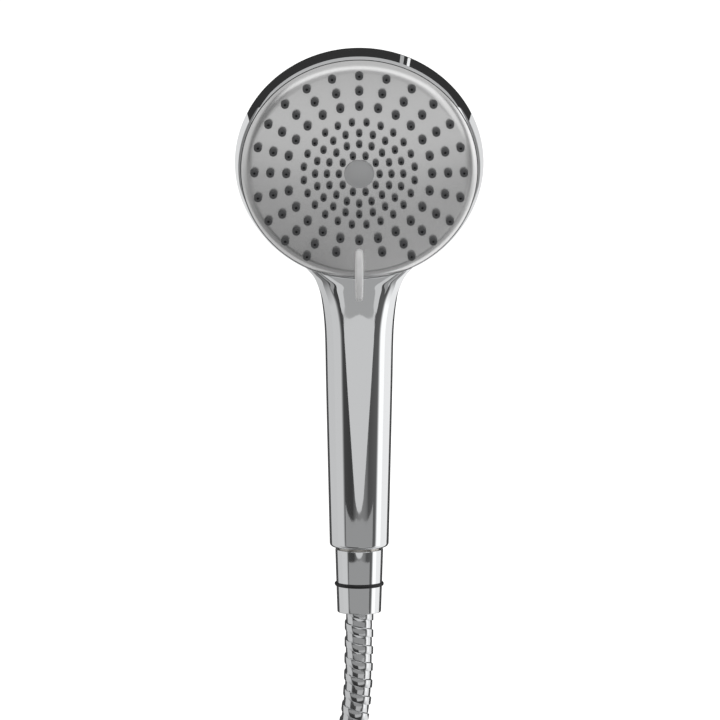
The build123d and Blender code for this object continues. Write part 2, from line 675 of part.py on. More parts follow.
def body_shell():
    rim_depth = crown_depth(FACE_RADIUS) + RIM_BELOW_FACE_EDGE
    outer = on_head(drum(rim_depth)) + neck(HANDLE_END_ROUND, 0.0)
    end = along(HANDLE_RADIUS, 0, HANDLE_END_ROUND + END_OVERLAP)
    outer += fillet(end.edges().group_by(Axis.Y)[0], HANDLE_END_ROUND)
    shell = outer - on_head(drum_cavity()) - neck(PLUG_END, SHELL_WALL)
    bosses = []
    pilots = []
    for angle in HUB_SCREW_ANGLES:
        x, y = around(HUB_SCREWS_AT, angle)
        bosses.append(on_head(post(x, y, HUB_TOP + HUB_THICKNESS, HUB_BOSS_DEPTH, HUB_BOSS_RADIUS)))
        pilots.append(on_head(post(x, y, HUB_TOP, HUB_SCREW_DEPTH + WALL_GAP, SCREW_RADIUS)))
    bores = [
        along(FLANGE_RADIUS + FLANGE_GAP, -CUT_PAST, FLANGE_END),
        along(FITTING_BODY_RADIUS + FLANGE_GAP, 0, PLUG_END + CUT_PAST),
    ]
    return (shell + bosses) - pilots - bores


# ---- waterway from the inlet to the hub ----

def tube_path():
    end = head_point(0, -DUCT_SOCKET_END - SOCKET_CLEARANCE, DUCT_DEPTH)
    slope = math.tan(math.radians(HEAD_TILT))
    corner_y = end.Y - (end.Z - HANDLE_RADIUS) / slope
    start = (0, FITTING_SOCKET_START + SOCKET_CLEARANCE, HANDLE_RADIUS)
    return FilletPolyline(start, (0, corner_y, HANDLE_RADIUS), end, radius=TUBE_BEND)


def tube_groove():
    """The groove that an O-ring sits in, about Z."""
    floor = TUBE_RADIUS + SOCKET_CLEARANCE - ORING_SECTION
    half = ORING_GROOVE_SHARE * ORING_SECTION
    outer = TUBE_RADIUS + 1
    return turned([(floor, -half), (outer, -half), (outer, half), (floor, half)])


def groove_places():
    inlet = Pos(0, FITTING_SOCKET_START + ORING_SET_BACK, HANDLE_RADIUS) * Rot(-90, 0, 0)
    duct = HEAD.location * Pos(0, -DUCT_SOCKET_END - ORING_SET_BACK, -DUCT_DEPTH) * Rot(-90, 0, 0)
    return inlet, duct


def waterway_tube():
    path = tube_path()
    mouth = Plane(origin=path @ 0, z_dir=path % 0)
    tube = sweep(mouth * (Circle(TUBE_RADIUS) - Circle(TUBE_BORE)), path=path)
    return tube - [place * tube_groove() for place in groove_places()]


def o_ring(place):
    middle = TUBE_RADIUS + SOCKET_CLEARANCE - ORING_SECTION / 2
    return place * Torus(middle, ORING_SECTION / 2)


def inlet_fitting():
    """Brass tail of the handset: a G 1/2 thread outside, the waterway's socket inside."""
    body = along(THREAD_RADIUS, -THREAD_LENGTH, FLANGE_START)
    body += along(FLANGE_RADIUS, FLANGE_START, FLANGE_END)
    body += along(FITTING_BODY_RADIUS, FLANGE_END, FITTING_END)
    regulator_floor = -THREAD_LENGTH + REGULATOR_THICKNESS + FLANGE_GAP
    cuts = [
        along(FITTING_BORE, -THREAD_LENGTH, FITTING_END),
        along(TUBE_RADIUS + SOCKET_CLEARANCE, FITTING_SOCKET_START, FITTING_END + CUT_PAST),
        along(REGULATOR_RADIUS + FLANGE_GAP, -THREAD_LENGTH - CUT_PAST, regulator_floor),
    ]
    return body - cuts


def flow_regulator():
    start = -THREAD_LENGTH + FLANGE_GAP
    disc = along(REGULATOR_RADIUS, start, start + REGULATOR_THICKNESS)
    holes = []
    for i in range(REGULATOR_HOLES):
        x, z = around(REGULATOR_HOLE_RING, 360 * i / REGULATOR_HOLES)
        holes.append(along(REGULATOR_HOLE_RADIUS, start - CUT_PAST, CUT_PAST, z=HANDLE_RADIUS + z, x=x))
    return disc - holes


# ---- conical nut and the hose end inside it ----

def nut_radius(distance):
    """The cone's radius at a distance from its upper edge."""
    return NUT_LARGE_RADIUS + (NUT_SMALL_RADIUS - NUT_LARGE_RADIUS) * distance / NUT_LENGTH


def nut_shoulder():
    return -THREAD_LENGTH - WASHER_THICKNESS - INSERT_FLANGE_THICKNESS - NUT_THREAD_GAP


def grip_ring_shape():
    middle = nut_radius(GRIP_RING_AT) - GRIP_RING_SINK
    place = Pos(0, -NUT_START - GRIP_RING_AT, HANDLE_RADIUS) * Rot(-90, 0, 0)
    return place * Torus(middle, GRIP_RING_SECTION / 2)


def cone_nut():
    top = -NUT_START
    bottom = top - NUT_LENGTH
    thread = THREAD_RADIUS + NUT_THREAD_GAP
    bore = INSERT_SLEEVE_RADIUS + NUT_BORE_GAP
    body = turned_along([
        (thread, top),
        (NUT_LARGE_RADIUS - NUT_EDGE, top),
        (nut_radius(NUT_EDGE), top - NUT_EDGE),
        (nut_radius(NUT_LENGTH - NUT_EDGE), bottom + NUT_EDGE),
        (NUT_SMALL_RADIUS - NUT_EDGE, bottom),
        (bore, bottom),
        (bore, nut_shoulder()),
        (thread, nut_shoulder()),
    ])
    return body - grip_ring_shape()


def hose_washer():
    start = -THREAD_LENGTH
    end = start - WASHER_THICKNESS
    return along(WASHER_RADIUS, end, start) - along(WASHER_BORE, end - CUT_PAST, start + CUT_PAST)


def filter_screen():
    middle = -THREAD_LENGTH - WASHER_THICKNESS / 2
    half = SCREEN_THICKNESS / 2
    disc = along(WASHER_BORE, middle - half, middle + half)
    holes = [along(SCREEN_HOLE_RADIUS, middle - CUT_PAST, middle + CUT_PAST)]
    for radius, count in SCREEN_RINGS:
        for i in range(count):
            x, z = around(radius, 360 * i / count)
            hole = along(SCREEN_HOLE_RADIUS, middle - CUT_PAST, middle + CUT_PAST)
            holes.append(Pos(x, 0, z) * hole)
    return disc - holes


def hose_end_insert():
    top = -THREAD_LENGTH - WASHER_THICKNESS
    flange = top - INSERT_FLANGE_THICKNESS
    insert = along(INSERT_FLANGE_RADIUS, flange, top)
    insert += along(INSERT_SLEEVE_RADIUS, flange - INSERT_SLEEVE_LENGTH, flange)
    insert -= along(INSERT_BORE, flange - INSERT_SLEEVE_LENGTH, top)
    sleeve_end = flange - INSERT_SLEEVE_LENGTH
    return insert - along(HOSE_RADIUS + HOSE_FIT, sleeve_end - CUT_PAST, flange - INSERT_FLOOR)


# ---- hose ----

def coil_entry():
    """Where the loose stretch touches the outer turn, and the way it runs there."""
    x, y = around(COIL_OUTER_TURN, COIL_ENTRY_ANGLE)
    angle = math.radians(COIL_ENTRY_ANGLE)
    return Vector(COIL_X + x, COIL_Y + y, HOSE_RADIUS), Vector(-math.sin(angle), math.cos(angle), 0)


def hose_route():
    touch, way = coil_entry()
    end = touch - way * COIL_LEAD
    return [Vector(*p) for p in HOSE_POINTS] + [end - way * COIL_APPROACH, end]


def corner_radii(points):
    """The largest arc that each corner's two runs allow."""
    radii = []
    for before, at, after in zip(points, points[1:], points[2:]):
        turn = math.radians((at - before).get_angle(after - at))
        shorter = min((at - before).length, (after - at).length)
        radii.append(ARC_SHARE * shorter / math.tan(turn / 2))
    return radii


def hose():
    points = hose_route()
    radii = corner_radii(points)
    path = FilletPolyline(*points, radius=radii)
    tube = sweep(Plane(origin=path @ 0, z_dir=path % 0) * Circle(HOSE_RADIUS), path=path)
    expected = math.pi * HOSE_RADIUS**2 * path.length
    print("hose arcs:", [round(r, 1) for r in radii], "length:", round(path.length, 1))
    print("hose volume against section times length:", round(tube.volume / expected, 4))
    return tube


def hose_coil():
    """The put-away turns as their outer shape: two turns side by side and one on top of them."""
    outer = COIL_OUTER_TURN + HOSE_RADIUS + COIL_MARGIN
    inner = COIL_OUTER_TURN - COIL_TURN_STEP - HOSE_RADIUS - COIL_MARGIN
    top_turn = COIL_OUTER_TURN - COIL_TURN_STEP / 2
    floor = COIL_MARGIN / 2
    top = 2 * HOSE_RADIUS + COIL_MARGIN
    lower = turned([(inner, floor), (outer, floor), (outer, top), (inner, top)])
    middle = (COIL_TOP_FROM + COIL_TOP_TO) / 2
    gap = 180 - (COIL_TOP_TO - COIL_TOP_FROM) / 2
    side = HOSE_RADIUS + COIL_MARGIN
    ring = turned([
        (top_turn - side, HOSE_RADIUS),
        (top_turn + side, HOSE_RADIUS),
        (top_turn + side, COIL_TOP_HEIGHT),
        (top_turn - side, COIL_TOP_HEIGHT),
    ])
    ring -= sector(inner, outer, middle + 180, gap, -2 * COIL_TOP_HEIGHT, -top)
    coil = Pos(COIL_X, COIL_Y, 0) * (lower + ring)
    touch, way = coil_entry()
    lead = Plane(origin=touch - way * COIL_LEAD, z_dir=way) * Circle(HOSE_RADIUS)
    coil += extrude(lead, COIL_LEAD)
    return coil + along(HOSE_RADIUS, COIL_Y - TAIL_LENGTH, COIL_Y, z=TAIL_HEIGHT, x=COIL_X + top_turn)


# ---- wall end of the hose ----

def wall_piece(points):
    """A turned piece on the axis of the hose's far end."""
    top_turn = COIL_OUTER_TURN - COIL_TURN_STEP / 2
    return turned_along(points, z=TAIL_HEIGHT, x=COIL_X + top_turn, y=COIL_Y)


def wall_hose_insert():
    socket = HOSE_RADIUS + HOSE_FIT
    flange_end = WALL_NECK_END + WALL_FLANGE_THICKNESS
    sleeve_start = -WALL_HOSE_SOCKET
    sleeve_end = sleeve_start + WALL_SLEEVE_LENGTH
    return wall_piece([
        (socket, sleeve_start),
        (WALL_SLEEVE_RADIUS, sleeve_start),
        (WALL_SLEEVE_RADIUS, sleeve_end),
        (WALL_NECK_RADIUS, sleeve_end),
        (WALL_NECK_RADIUS, WALL_NECK_END),
        (WALL_FLANGE_RADIUS, WALL_NECK_END),
        (WALL_FLANGE_RADIUS, flange_end),
        (INSERT_BORE, flange_end),
        (INSERT_BORE, 0),
        (socket, 0),
    ])


def wall_nut():
    """Union nut that turns freely on the hose's tail."""
    edge = NUT_EDGE
    bore = WALL_NECK_RADIUS + WALL_NUT_CLEARANCE
    thread_start = WALL_NECK_END + WALL_FLANGE_THICKNESS + WASHER_THICKNESS
    return wall_piece([
        (bore, WALL_NUT_START),
        (WALL_NUT_RADIUS - edge, WALL_NUT_START),
        (WALL_NUT_RADIUS, WALL_NUT_START + edge),
        (WALL_NUT_RADIUS, WALL_NUT_END - edge),
        (WALL_NUT_RADIUS - edge, WALL_NUT_END),
        (WALL_NUT_THREAD_RADIUS, WALL_NUT_END),
        (WALL_NUT_THREAD_RADIUS, thread_start),
        (WALL_NUT_RELIEF_RADIUS, thread_start),
        (WALL_NUT_RELIEF_RADIUS, WALL_NUT_START + WALL_NUT_FLOOR),
        (bore, WALL_NUT_START + WALL_NUT_FLOOR),
    ])


def wall_washer():
    start = WALL_NECK_END + WALL_FLANGE_THICKNESS
    end = start + WASHER_THICKNESS
    outer = WALL_WASHER_RADIUS
    return wall_piece([(WASHER_BORE, start), (outer, start), (outer, end), (WASHER_BORE, end)])


# ---- assembly ----

def handset_nodes():
    inlet_groove, duct_groove = groove_places()
    return {
        "body_shell": body_shell(),
        "faceplate": on_head(faceplate()),
        "outer_nozzle_mat": on_head(outer_nozzle_mat()),
        "inner_nozzle_mat": on_head(inner_nozzle_mat()),
        "centre_cap": on_head(centre_cap()),
        "selector_lever": on_head(selector_lever()),
        "lever_screws": on_head(lever_screws()),
        "chamber_plate": on_head(chamber_plate()),
        "valve_hub": on_head(valve_hub()),
        "port_seal": on_head(port_seal()),
        "port_seal_spring": on_head(port_seal_spring()),
        "hub_screws": on_head(hub_screws()),
        "pivot_washer": on_head(pivot_washer()),
        "pivot_screw": on_head(pivot_screw()),
        "detent_ball": on_head(detent_ball()),
        "detent_spring": on_head(detent_spring()),
        "waterway_tube": waterway_tube(),
        "inlet_seal": o_ring(inlet_groove),
        "duct_seal": o_ring(duct_groove),
        "inlet_fitting": inlet_fitting(),
        "flow_regulator": flow_regulator(),
        "hose_washer": hose_washer(),
        "filter_screen": filter_screen(),
        "cone_nut": cone_nut(),
        "grip_ring": grip_ring_shape(),
        "hose_end_insert": hose_end_insert(),
    }


def hose_nodes():
    return {
        "hose": hose(),
        "hose_coil": hose_coil(),
        "wall_hose_insert": wall_hose_insert(),
        "wall_nut": wall_nut(),
        "wall_washer": wall_washer(),
    }


def main():
    handset = handset_nodes()
    boxes = [shape.bounding_box() for shape in handset.values()]
    low = Vector(*[min(tuple(box.min)[i] for box in boxes) for i in range(3)])
    high = Vector(*[max(tuple(box.max)[i] for box in boxes) for i in range(3)])
    to_origin = Pos(-(low.X + high.X) / 2, -(low.Y + high.Y) / 2, -low.Z)
    print("moved by:", [round(v, 3) for v in to_origin.position])
    os.makedirs("parts", exist_ok=True)
    for name, shape in {**handset, **hose_nodes()}.items():
        export_step(to_origin * shape, f"parts/{name}.step")


main()
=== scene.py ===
import math
import bpy
from mathutils import Matrix, Vector


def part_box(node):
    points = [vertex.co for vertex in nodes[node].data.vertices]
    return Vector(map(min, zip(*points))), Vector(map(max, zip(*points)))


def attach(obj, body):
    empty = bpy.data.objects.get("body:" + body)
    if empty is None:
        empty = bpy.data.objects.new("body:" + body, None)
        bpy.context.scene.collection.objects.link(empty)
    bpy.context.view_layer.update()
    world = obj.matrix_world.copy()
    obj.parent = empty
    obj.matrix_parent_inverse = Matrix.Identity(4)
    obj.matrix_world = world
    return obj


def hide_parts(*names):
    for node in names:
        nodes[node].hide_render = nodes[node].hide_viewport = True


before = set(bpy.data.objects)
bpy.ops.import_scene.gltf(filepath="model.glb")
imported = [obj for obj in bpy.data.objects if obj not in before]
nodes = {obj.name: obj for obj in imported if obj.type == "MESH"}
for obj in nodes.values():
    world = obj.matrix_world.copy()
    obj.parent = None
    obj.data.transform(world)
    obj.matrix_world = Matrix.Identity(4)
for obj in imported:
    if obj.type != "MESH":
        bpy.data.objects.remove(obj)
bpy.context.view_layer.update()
scene = bpy.context.scene
scene.view_settings.view_transform = "Standard"

# ---- places in millimetres: y up the handle from its lower end, z up from the floor ----
MM = 0.001
NUT_TOP = -1.2
Y0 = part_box("cone_nut")[1][1] - NUT_TOP * MM

# the head: the middle of its face, and the ways across, up and out of it
TILT = math.radians(15.0)
HEAD = Vector((0.0, 187.3, 50.0))
ACROSS = Vector((1.0, 0.0, 0.0))
UP = Vector((0.0, math.cos(TILT), math.sin(TILT)))
OUT = Vector((0.0, -math.sin(TILT), math.cos(TILT)))

# the drum: its radius, how far back its rim and its dome reach, and its wall
HEAD_RADIUS, EDGE_DEPTH, HEAD_DEPTH, WALL = 60.3, 14.3, 27.3, 2.2

# the face: its radius, the opening round it, and a crown that ends in a rounded edge
FACE_RADIUS, FACE_BORE = 57.0, 57.3
CROWN, CROWN_END, EDGE_ROUND = 590.0, 51.3, 8.5

# the nozzle rings: radius, number of places and the first one's angle
OUTER_RINGS = [(50.6, 24, 0.0), (42.92, 24, 0.0), (35.21, 24, 0.0)]
INNER_RINGS = [(26.98, 24, 7.5), (21.28, 20, 0.0), (15.58, 16, 22.5), (9.84, 10, 18.0)]

# the handle and neck: front (y, z), back (y, z) and half the width of each section
AXIS_Z = 14.3
NECK = [
    ((1.8, 28.6), (1.8, 0.0), 14.3),
    ((40.0, 29.2), (40.0, 0.0), 15.2),
    ((80.0, 29.8), (80.0, 0.0), 16.1),
    ((105.0, 30.0), (103.0, 0.6), 16.6),
    ((119.0, 29.7), (121.0, 3.6), 18.0),
    ((127.0, 29.2), (137.0, 8.6), 21.5),
    ((130.5, 28.8), (152.0, 12.7), 27.5),
    ((133.2, 28.2), (168.0, 17.6), 34.5),
    ((134.6, 27.6), (181.0, 21.2), 40.0),
]


def local(p):
    """A point in millimetres from the handle's lower end, in the frame."""
    return Vector((p[0] * MM, p[1] * MM + Y0, p[2] * MM))


def on_head(x, y, depth):
    """A point across, up and behind the middle of the face, in the frame."""
    return local(HEAD + ACROSS * x + UP * y - OUT * depth)


def on_handle(x, z, y):
    """A point beside the handle's axis, in the frame."""
    return local((x, y, AXIS_Z + z))


def smooth(t):
    t = min(max(t, 0.0), 1.0)
    return t * t * (3 - 2 * t)


# ---- the camera: far away with a long lens, so the view is nearly parallel ----
CAM_LEAN = math.radians(8.5)
LENS, SENSOR = 1000.0, 36.0
SHOWN_WIDTH = 347.1
AIM_BELOW_FACE, AIM_ASIDE = 89.77, 0.37


def make_camera():
    toward = Vector((0.0, math.sin(CAM_LEAN), math.cos(CAM_LEAN)))
    up = Vector((0.0, math.cos(CAM_LEAN), -math.sin(CAM_LEAN)))
    aim = local(HEAD - up * AIM_BELOW_FACE + ACROSS * AIM_ASIDE)
    data = bpy.data.cameras.new("camera")
    data.lens, data.sensor_width = LENS, SENSOR
    data.clip_start, data.clip_end = 0.1, 50.0
    camera = bpy.data.objects.new("camera", data)
    scene.collection.objects.link(camera)
    camera.location = aim + toward * (SHOWN_WIDTH * MM * LENS / SENSOR)
    camera.rotation_mode = "QUATERNION"
    turned = Matrix((ACROSS, up, toward)).transposed()
    camera.rotation_quaternion = turned.to_quaternion()
    scene.camera = camera


# ---- materials ----
GRAIN_DETAIL = 3.0
BUMP_HEIGHT = 0.0001


def ranged(tree, value, span, result):
    """The output of a Map Range node that turns the span into the result."""
    node = tree.nodes.new("ShaderNodeMapRange")
    node.inputs["From Min"].default_value = span[0]
    node.inputs["From Max"].default_value = span[1]
    node.inputs["To Min"].default_value = result[0]
    node.inputs["To Max"].default_value = result[1]
    tree.links.new(value, node.inputs["Value"])
    return node.outputs["Result"]


def material(name, colour, metallic, rough, grain, grain_size, bump=0.0):
    """A finish whose roughness varies by the grain, with a fine bump where one is given."""
    m = bpy.data.materials.new(name)
    m.use_nodes = True
    tree = m.node_tree
    shader = tree.nodes["Principled BSDF"]
    shader.inputs["Base Color"].default_value = (*colour, 1.0)
    shader.inputs["Metallic"].default_value = metallic
    shader.inputs["Roughness"].default_value = rough
    place = tree.nodes.new("ShaderNodeTexCoord")
    noise = tree.nodes.new("ShaderNodeTexNoise")
    noise.inputs["Scale"].default_value = grain_size
    noise.inputs["Detail"].default_value = GRAIN_DETAIL
    tree.links.new(place.outputs["Object"], noise.inputs["Vector"])
    limits = (max(rough - grain, 0.0), rough + grain)
    varied = ranged(tree, noise.outputs["Fac"], (0.0, 1.0), limits)
    tree.links.new(varied, shader.inputs["Roughness"])
    if bump:
        raised = tree.nodes.new("ShaderNodeBump")
        raised.inputs["Strength"].default_value = bump
        raised.inputs["Distance"].default_value = BUMP_HEIGHT
        tree.links.new(noise.outputs["Fac"], raised.inputs["Height"])
        tree.links.new(raised.outputs["Normal"], shader.inputs["Normal"])
    return m


# each slot's colour, metal, roughness, how far that varies, the grain's scale, and any bump
FINISHES = {
    "chrome_shell": ((0.86, 0.87, 0.88), 1.0, 0.035, 0.01, 60.0),
    "satin_face": ((0.86, 0.86, 0.86), 0.86, 0.25, 0.01, 2500.0),
    "chrome_trim": ((0.88, 0.89, 0.90), 1.0, 0.05, 0.01, 90.0),
    "nozzle_silicone": ((0.085, 0.087, 0.09), 0.0, 0.45, 0.06, 1500.0, 0.1),
    "grey_cap": ((0.55, 0.555, 0.56), 0.35, 0.38, 0.03, 1200.0),
    "inner_plastic": ((0.035, 0.036, 0.038), 0.0, 0.45, 0.05, 800.0),
    "seal_rubber": ((0.012, 0.012, 0.013), 0.0, 0.55, 0.08, 1500.0, 0.15),
    "spring_steel": ((0.55, 0.56, 0.57), 1.0, 0.25, 0.03, 900.0),
    "steel_screws": ((0.6, 0.61, 0.62), 1.0, 0.22, 0.03, 900.0),
    "brass_fitting": ((0.50, 0.48, 0.45), 1.0, 0.25, 0.04, 600.0),
    "hose_metal": ((0.80, 0.81, 0.82), 1.0, 0.11, 0.02, 700.0),
}
LEVER_FINISH = material("pale_chrome", (0.98, 0.98, 0.98), 0.15, 0.3, 0.02, 700.0)
MATERIALS = {slot: material(slot, *finish) for slot, finish in FINISHES.items()}
for node in nodes.values():
    for i, old in enumerate(list(node.data.materials)):
        slot = old.name.split(".")[0]
        if slot not in MATERIALS:
            raise SystemExit("no material for slot " + old.name)
        node.data.materials[i] = MATERIALS[slot]


# ---- mesh helpers ----
SMALLEST_RING = 0.002
CORNER_SHARE = 0.45


def piece(name, verts, faces, slot, body, replaced, sharp=32.0):
    """A smooth mesh that rides on the body and stands for the replaced nodes."""
    mesh = bpy.data.meshes.new(name)
    mesh.from_pydata([tuple(v) for v in verts], [], faces)
    mesh.validate()
    mesh.update()
    mesh.polygons.foreach_set("use_smooth", [True] * len(mesh.polygons))
    mesh.set_sharp_from_angle(angle=math.radians(sharp))
    obj = bpy.data.objects.new(name, mesh)
    scene.collection.objects.link(obj)
    obj.data.materials.append(MATERIALS[slot])
    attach(obj, body)
    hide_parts(*replaced)
    return obj


def angles(count):
    return [2 * math.pi * i / count for i in range(count)]


def grid_faces(rings, around, base=0):
    """Quads between closed rings of the same number of points."""
    faces = []
    for i in range(rings - 1):
        for j in range(around):
            k = (j + 1) % around
            a, b = base + i * around, base + (i + 1) * around
            faces.append((a + j, a + k, b + k, b + j))
    return faces


def lathe(outline, place, around):
    """An outline of (radius, distance), turned; a radius of 0 leaves a pinhole."""
    verts = []
    for radius, distance in outline:
        r = max(radius, SMALLEST_RING)
        for a in angles(around):
            verts.append(place(r * math.cos(a), r * math.sin(a), distance))
    return verts, grid_faces(len(outline), around)


def rounded(outline, radius, steps):
    """The outline with each inner corner cut round."""
    out = [outline[0]]
    for before, at, after in zip(outline, outline[1:], outline[2:]):
        a, b, c = Vector(before), Vector(at), Vector(after)
        reach = min(radius, (a - b).length * CORNER_SHARE, (c - b).length * CORNER_SHARE)
        p, q = b + (a - b).normalized() * reach, b + (c - b).normalized() * reach
        for i in range(steps + 1):
            t = i / steps
            out.append(tuple(p * (1 - t) ** 2 + b * 2 * t * (1 - t) + q * t * t))
    out.append(outline[-1])
    return out


def slopes(xs, ys):
    """Slopes for a cubic through the points that adds no bumps of its own."""
    d = [(ys[i + 1] - ys[i]) / (xs[i + 1] - xs[i]) for i in range(len(xs) - 1)]
    out = [d[0]]
    for before, after in zip(d, d[1:]):
        turns = before * after <= 0
        out.append(0.0 if turns else 2 * before * after / (before + after))
    return out + [d[-1]]


def cubic(xs, ys, ms, x):
    """The cubic with those points and slopes, at x."""
    i = max(k for k in range(len(xs) - 1) if xs[k] <= x or k == 0)
    h = xs[i + 1] - xs[i]
    t = (x - xs[i]) / h
    a = (1 + 2 * t) * (1 - t) ** 2 * ys[i] + t * (1 - t) ** 2 * h * ms[i]
    return a + t * t * (3 - 2 * t) * ys[i + 1] + t * t * (t - 1) * h * ms[i + 1]


def crown_depth(radius):
    """How far the face's surface is behind its middle."""
    if radius <= CROWN_END:
        return CROWN - math.sqrt(CROWN**2 - radius**2)
    lean = math.asin(CROWN_END / CROWN)
    centre_r = CROWN_END - EDGE_ROUND * math.sin(lean)
    centre_d = crown_depth(CROWN_END) + EDGE_ROUND * math.cos(lean)
    return centre_d - math.sqrt(EDGE_ROUND**2 - (radius - centre_r) ** 2)


# ---- chrome shell: head drum, neck and handle ----
BORE, BORE_DEPTH, BORE_LIP = 12.6, 7.0, 0.06
END_FLAT, END_ROUND = 12.5, 1.8


def dome_depth(radius, inset):
    """How far the dome at the back of the drum is behind the middle of the face."""
    rise = HEAD_DEPTH - EDGE_DEPTH
    sphere = (HEAD_RADIUS**2 + rise**2) / (2 * rise)
    return HEAD_DEPTH - sphere + math.sqrt((sphere - inset) ** 2 - radius**2)


def drum_outline():
    """From the middle of the dome, over the rim, and back along the inside of the wall."""
    rim = crown_depth(FACE_RADIUS) + 0.05
    front = rim + 1.45
    outside = [HEAD_RADIUS * i / 24 for i in range(24)]
    inside = [FACE_BORE * (11 - i) / 12 for i in range(12)]
    out = [(r, dome_depth(r, 0)) for r in outside]
    corner = [out[-1], (HEAD_RADIUS, EDGE_DEPTH), (FACE_BORE + 1.1, front)]
    out += rounded(corner, 1.6, 6)[1:-1]
    step = [(59.2, 9.5), (58.4, front), (57.75, rim + 0.45)]
    out += rounded(step, 0.16, 3)[1:-1]
    lip = [(58.1, rim + 1.05), (57.42, rim + 0.02), (57.3, rim + 0.3)]
    out += rounded(lip, 0.14, 4)[1:-1]
    out += [(FACE_BORE, rim + 0.5), (FACE_BORE, dome_depth(FACE_BORE, WALL))]
    return out + [(r, dome_depth(r, WALL)) for r in inside]


def neck_loops(per_span, around):
    """Ellipses through the sections, with smooth ones between them."""
    keys = [[f[0], f[1], b[0], b[1], w] for f, b, w in NECK]
    at = [0.0]
    for p, q in zip(keys, keys[1:]):
        at.append(at[-1] + math.hypot(q[2] - p[2], q[3] - p[3]) + abs(q[4] - p[4]))
    columns = list(zip(*keys))
    ms = [slopes(at, column) for column in columns]
    loops = []
    for low, high in zip(at, at[1:]):
        for s in range(per_span):
            x = low + (high - low) * s / per_span
            loops.append([cubic(at, c, m, x) for c, m in zip(columns, ms)])
    loops.append(keys[-1])
    out = []
    for fy, fz, by, bz, w in loops:
        middle = Vector((0, (fy + by) / 2, (fz + bz) / 2))
        front = Vector((0, (fy - by) / 2, (fz - bz) / 2))
        out.append([middle + front * math.cos(a) + ACROSS * (w * math.sin(a))
                    for a in angles(around)])
    return out


def make_shell():
    verts, faces = lathe(drum_outline(), on_head, 256)
    around = 160
    end = [(BORE, BORE_DEPTH), (BORE, BORE_LIP)]
    for i in range(8):
        a = math.pi / 2 * i / 8
        end.append((END_FLAT + END_ROUND * math.sin(a), END_ROUND - END_ROUND * math.cos(a)))
    loops = []
    for r, y in end:
        loops.append([Vector((r * math.sin(a), y, AXIS_Z + r * math.cos(a)))
                      for a in angles(around)])
    loops += neck_loops(12, around)
    base = len(verts)
    for loop in loops:
        verts += [local(p) for p in loop]
    faces += grid_faces(len(loops), around, base)
    faces.append(tuple(base + (len(loops) - 1) * around + j for j in range(around)))
    piece("shell", verts, faces, "chrome_shell", "handset", ["body_shell"], 40.0)


# ---- spray face, nozzles, cap and lever ----
FACE_HOLE, FACE_SKIRT = 6.7, 9.0
FACE_THICKNESS = 1.8
NOZZLE_OUT, NOZZLE_LENGTH, NOZZLE_TAPER, NOZZLE_ROUND = 2.3, 3.9, 0.12, 0.3
HOLE_MOUTH, HOLE, HOLE_DEPTH = 0.62, 0.55, 1.8
CAP_RADIUS, CAP_OUT, CAP_FLAT, CAP_BORE = 7.2, 0.6, 6.5, 5.4
# in the rings beyond the first number, no nozzle is as near the lever's line as the second
UNDER_LEVER, BESIDE_LEVER = (40.0, 3.9), (48.5, 15.6)


def make_face():
    start = FACE_HOLE + 0.1
    crown = [start + (CROWN_END - start) * i / 30 for i in range(30)]
    edge = [CROWN_END + (FACE_RADIUS - CROWN_END) * i / 14 for i in range(15)]
    out = [(FACE_HOLE, FACE_THICKNESS)]
    out += [(r, crown_depth(r)) for r in [FACE_HOLE] + crown + edge]
    out += [(FACE_RADIUS, FACE_SKIRT), (55.2, FACE_SKIRT), (55.2, crown_depth(53.0) + 2.8)]
    out += [(52.9, crown_depth(CROWN_END) + FACE_THICKNESS), (FACE_HOLE, FACE_THICKNESS)]
    verts, faces = lathe(out, on_head, 256)
    piece("spray_face", verts, faces, "satin_face", "selector", ["faceplate"])


def nozzle_places(rings):
    """The rings' places, without those under the lever's foot and beside it."""
    out = []
    for radius, count, start in rings:
        for i in range(count):
            a = math.radians(90 + start + 360 * i / count)
            x, y = radius * math.cos(a), radius * math.sin(a)
            taken = any(radius > beyond and y < 0 and abs(x) < near
                        for beyond, near in (UNDER_LEVER, BESIDE_LEVER))
            if not taken:
                out.append((x, y, radius))
    return out


def make_nozzles(name, rings, radius, node):
    verts, faces = [], []
    for x, y, ring in nozzle_places(rings):
        top = crown_depth(ring) - NOZZLE_OUT
        side = [(radius, top + NOZZLE_LENGTH), (radius - NOZZLE_TAPER, top)]
        hole = [(HOLE_MOUTH, top + 0.02), (HOLE, top + HOLE_DEPTH)]
        out = rounded(side + hole, NOZZLE_ROUND, 4)
        out.append((0.0, top + HOLE_DEPTH))
        more, quads = lathe(out, lambda a, b, d: on_head(x + a, y + b, d), 24)
        faces += [tuple(i + len(verts) for i in q) for q in quads]
        verts += more
    piece(name, verts, faces, "nozzle_silicone", "selector", [node])


def make_cap():
    top = -CAP_OUT
    out = [(0.0, top), (5.9, top), (6.0, top + 0.02), (CAP_FLAT, top)]
    out += rounded([(CAP_FLAT, top), (CAP_RADIUS, top), (CAP_RADIUS, 0.05)], 0.32, 5)[1:]
    out += [(CAP_FLAT, 0.06), (CAP_FLAT, 3.0), (CAP_BORE, 3.0), (CAP_BORE, 0.9), (0.0, 0.9)]
    verts, faces = lathe(out, on_head, 96)
    piece("cap", verts, faces, "grey_cap", "selector", ["centre_cap"])


# the lever: its top as (down from the face's middle, out), and that line's slopes at its ends
LEVER_TOP = [(40.0, -1.2), (46.0, 2.2), (53.0, 3.5), (61.5, 2.5), (67.5, -0.9)]
LEVER_END_SLOPES = 0.85, -0.75
LEVER_HALF, LEVER_BELLY = 1.8, 0.2
LEVER_UNDERCUT, LEVER_END_DEPTH = 0.7, 2.3
FACE_EDGE_DEPTH = 5.15


